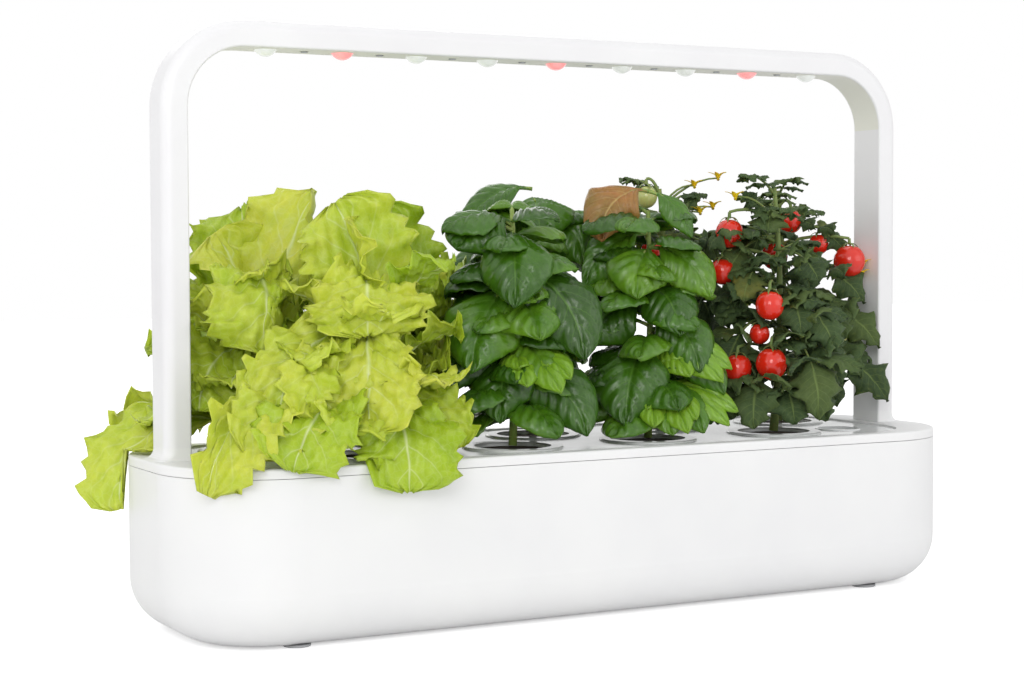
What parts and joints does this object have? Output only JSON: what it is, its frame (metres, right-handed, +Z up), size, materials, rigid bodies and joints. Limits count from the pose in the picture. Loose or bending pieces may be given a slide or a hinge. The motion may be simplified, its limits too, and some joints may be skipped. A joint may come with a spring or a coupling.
{
  "type": "countertop hydroponic garden",
  "caption": "Long rounded tub with a bow-shaped grow lamp on plug-in posts, a lift-out tray of planted cups and a water-level float.",
  "frame": {"origin": "centre of the tub's footprint, on the surface that the feet stand on", "axes": "+X along the tub from the left lamp post to the right one, +Y from the front to the back with the power inlet, +Z up"},
  "size_m": [0.6322, 0.2649, 0.4],
  "materials": {
    "white_shell": "satin white moulding",
    "white_rim": "satin white moulding",
    "white_post": "satin white moulding",
    "lamp_cover_grey": "satin pale grey",
    "tray_grey": "glossy pale grey",
    "cup_grey": "glossy pale grey",
    "tank_grey": "plain grey",
    "float_white": "smooth white",
    "foot_rubber": "matt grey",
    "soil_brown": "peat plug",
    "lettuce_leaf": "fresh yellow-green leaf",
    "basil_leaf": "glossy dark green leaf",
    "tomato_leaf": "matt dark green leaf",
    "tomato_red": "smooth red fruit",
    "board_green": "circuit board",
    "board_white": "white circuit board",
    "jack_black": "black",
    "lead_black": "black sheath",
    "spreader_metal": "mill finish",
    "lens_clear": "frosted clear lens",
    "lens_red": "translucent red lens",
    "led_package": "phosphor package",
    "screw_metal": "steel"
  },
  "bodies": {
    "base": {"tub_shell": "white_shell", "feet": "foot_rubber", "rim": "white_rim", "water_tank": "tank_grey", "control_board": "board_green", "power_jack": "jack_black", "input_lead": "lead_black", "lamp_lead_base": "lead_black"},
    "tray": {"tray": "tray_grey", "float_well": "tank_grey"},
    "water_float": {"water_float": "float_white"},
    "left_arm": {"left_arm": "white_post"},
    "right_arm": {"right_arm": "white_post", "arm_lead": "lead_black"},
    "bow": {"lamp_housing": "white_post", "lamp_cover": "lamp_cover_grey", "led_board": "board_white", "heat_spreader": "spreader_metal", "lenses_clear": "lens_clear", "lenses_red": "lens_red", "leds": "led_package", "cover_screws": "screw_metal", "bow_lead": "lead_black"},
    "planter_1": {"cup_1": "cup_grey", "soil_1": "soil_brown", "lettuce_1": "lettuce_leaf"},
    "planter_2": {"cup_2": "cup_grey", "soil_2": "soil_brown", "lettuce_2": "lettuce_leaf"},
    "planter_3": {"cup_3": "cup_grey", "soil_3": "soil_brown", "lettuce_3": "lettuce_leaf"},
    "planter_4": {"cup_4": "cup_grey", "soil_4": "soil_brown", "basil_4": "basil_leaf"},
    "planter_5": {"cup_5": "cup_grey", "soil_5": "soil_brown", "basil_5": "basil_leaf"},
    "planter_6": {"cup_6": "cup_grey", "soil_6": "soil_brown", "basil_6": "basil_leaf"},
    "planter_7": {"cup_7": "cup_grey", "soil_7": "soil_brown", "tomato_7": "tomato_leaf", "fruits_7": "tomato_red"},
    "planter_8": {"cup_8": "cup_grey", "soil_8": "soil_brown", "tomato_8": "tomato_leaf", "fruits_8": "tomato_red"},
    "planter_9": {"cup_9": "cup_grey", "soil_9": "soil_brown", "tomato_9": "tomato_leaf", "fruits_9": "tomato_red"}
  },
  "joints": [
    {"name": "left_arm_lift", "type": "slide", "parent": "base", "child": "left_arm", "axis": [0, 0, 1], "range_m": [0, 0.03]},
    {"name": "right_arm_lift", "type": "slide", "parent": "base", "child": "right_arm", "axis": [0, 0, 1], "range_m": [0, 0.03]},
    {"name": "bow_lift", "type": "slide", "parent": "left_arm", "child": "bow", "axis": [0, 0, 1], "range_m": [0, 0.03]},
    {"name": "tray_lift", "type": "slide", "parent": "base", "child": "tray", "axis": [0, 0, 1], "range_m": [0, 0.018]},
    {"name": "float_rise", "type": "slide", "parent": "tray", "child": "water_float", "axis": [0, 0, 1], "range_m": [-0.024, 0]},
    {"name": "cup_1_lift", "type": "slide", "parent": "tray", "child": "planter_1", "axis": [0, 0, 1], "range_m": [0, 0.046]},
    {"name": "cup_2_lift", "type": "slide", "parent": "tray", "child": "planter_2", "axis": [0, 0, 1], "range_m": [0, 0.046]},
    {"name": "cup_3_lift", "type": "slide", "parent": "tray", "child": "planter_3", "axis": [0, 0, 1], "range_m": [0, 0.046]},
    {"name": "cup_4_lift", "type": "slide", "parent": "tray", "child": "planter_4", "axis": [0, 0, 1], "range_m": [0, 0.046]},
    {"name": "cup_5_lift", "type": "slide", "parent": "tray", "child": "planter_5", "axis": [0, 0, 1], "range_m": [0, 0.046]},
    {"name": "cup_6_lift", "type": "slide", "parent": "tray", "child": "planter_6", "axis": [0, 0, 1], "range_m": [0, 0.046]},
    {"name": "cup_7_lift", "type": "slide", "parent": "tray", "child": "planter_7", "axis": [0, 0, 1], "range_m": [0, 0.046]},
    {"name": "cup_8_lift", "type": "slide", "parent": "tray", "child": "planter_8", "axis": [0, 0, 1], "range_m": [0, 0.046]},
    {"name": "cup_9_lift", "type": "slide", "parent": "tray", "child": "planter_9", "axis": [0, 0, 1], "range_m": [0, 0.046]}
  ],
  "couplings": [
    {"joint": "right_arm_lift", "follows": "left_arm_lift", "ratio": 1}
  ]
}
